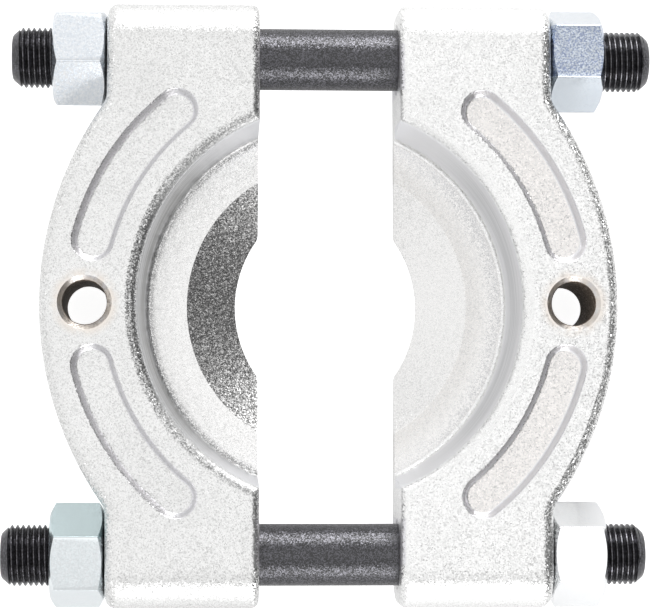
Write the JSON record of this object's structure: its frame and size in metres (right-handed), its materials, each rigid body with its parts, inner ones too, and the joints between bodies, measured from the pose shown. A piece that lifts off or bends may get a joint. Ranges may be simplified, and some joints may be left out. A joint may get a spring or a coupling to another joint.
{
  "type": "bearing separator",
  "caption": "Bearing separator with recessed knife-edged halves, drawn together on threaded studs by hexagon nuts to grip behind a bearing.",
  "frame": {"origin": "midway between the halves and between the studs, on the machined backs", "axes": "+X along the studs, towards half_right; +Y from the lower stud to the upper one; +Z out of the recessed side, away from the machined backs"},
  "size_m": [0.168, 0.1564, 0.028],
  "materials": {
    "casting": "satin",
    "stud": "satin",
    "nut": "satin"
  },
  "bodies": {
    "studs": {"stud_upper": "stud", "stud_lower": "stud"},
    "half_left": {"half_left": "casting"},
    "half_right": {"half_right": "casting"},
    "nut_upper_left": {"nut_upper_left": "nut"},
    "nut_lower_left": {"nut_lower_left": "nut"},
    "nut_upper_right": {"nut_upper_right": "nut"},
    "nut_lower_right": {"nut_lower_right": "nut"}
  },
  "joints": [
    {"name": "half_left_slide", "type": "slide", "parent": "studs", "child": "half_left", "axis": [1, 0, 0], "range_m": [-0.01, 0.0179]},
    {"name": "half_right_slide", "type": "slide", "parent": "studs", "child": "half_right", "axis": [-1, 0, 0], "range_m": [-0.01, 0.0179]},
    {"name": "nut_upper_left_turn", "type": "hinge", "parent": "half_left", "child": "nut_upper_left", "pos_m": [-0.0575, 0.0645, 0.014], "axis": [1, 0, 0], "range_deg": [-2552, 4567]},
    {"name": "nut_lower_left_turn", "type": "hinge", "parent": "half_left", "child": "nut_lower_left", "pos_m": [-0.0575, -0.0645, 0.014], "axis": [1, 0, 0], "range_deg": [-2552, 4567]},
    {"name": "nut_upper_right_turn", "type": "hinge", "parent": "half_right", "child": "nut_upper_right", "pos_m": [0.0575, 0.0645, 0.014], "axis": [-1, 0, 0], "range_deg": [-2552, 4567]},
    {"name": "nut_lower_right_turn", "type": "hinge", "parent": "half_right", "child": "nut_lower_right", "pos_m": [0.0575, -0.0645, 0.014], "axis": [-1, 0, 0], "range_deg": [-2552, 4567]}
  ],
  "couplings": [
    {"joint": "nut_upper_left_turn", "follows": "half_left_slide", "rad_per_m": 4452.7},
    {"joint": "nut_lower_left_turn", "follows": "half_left_slide", "rad_per_m": 4452.7},
    {"joint": "nut_upper_right_turn", "follows": "half_right_slide", "rad_per_m": 4452.7},
    {"joint": "nut_lower_right_turn", "follows": "half_right_slide", "rad_per_m": 4452.7}
  ]
}
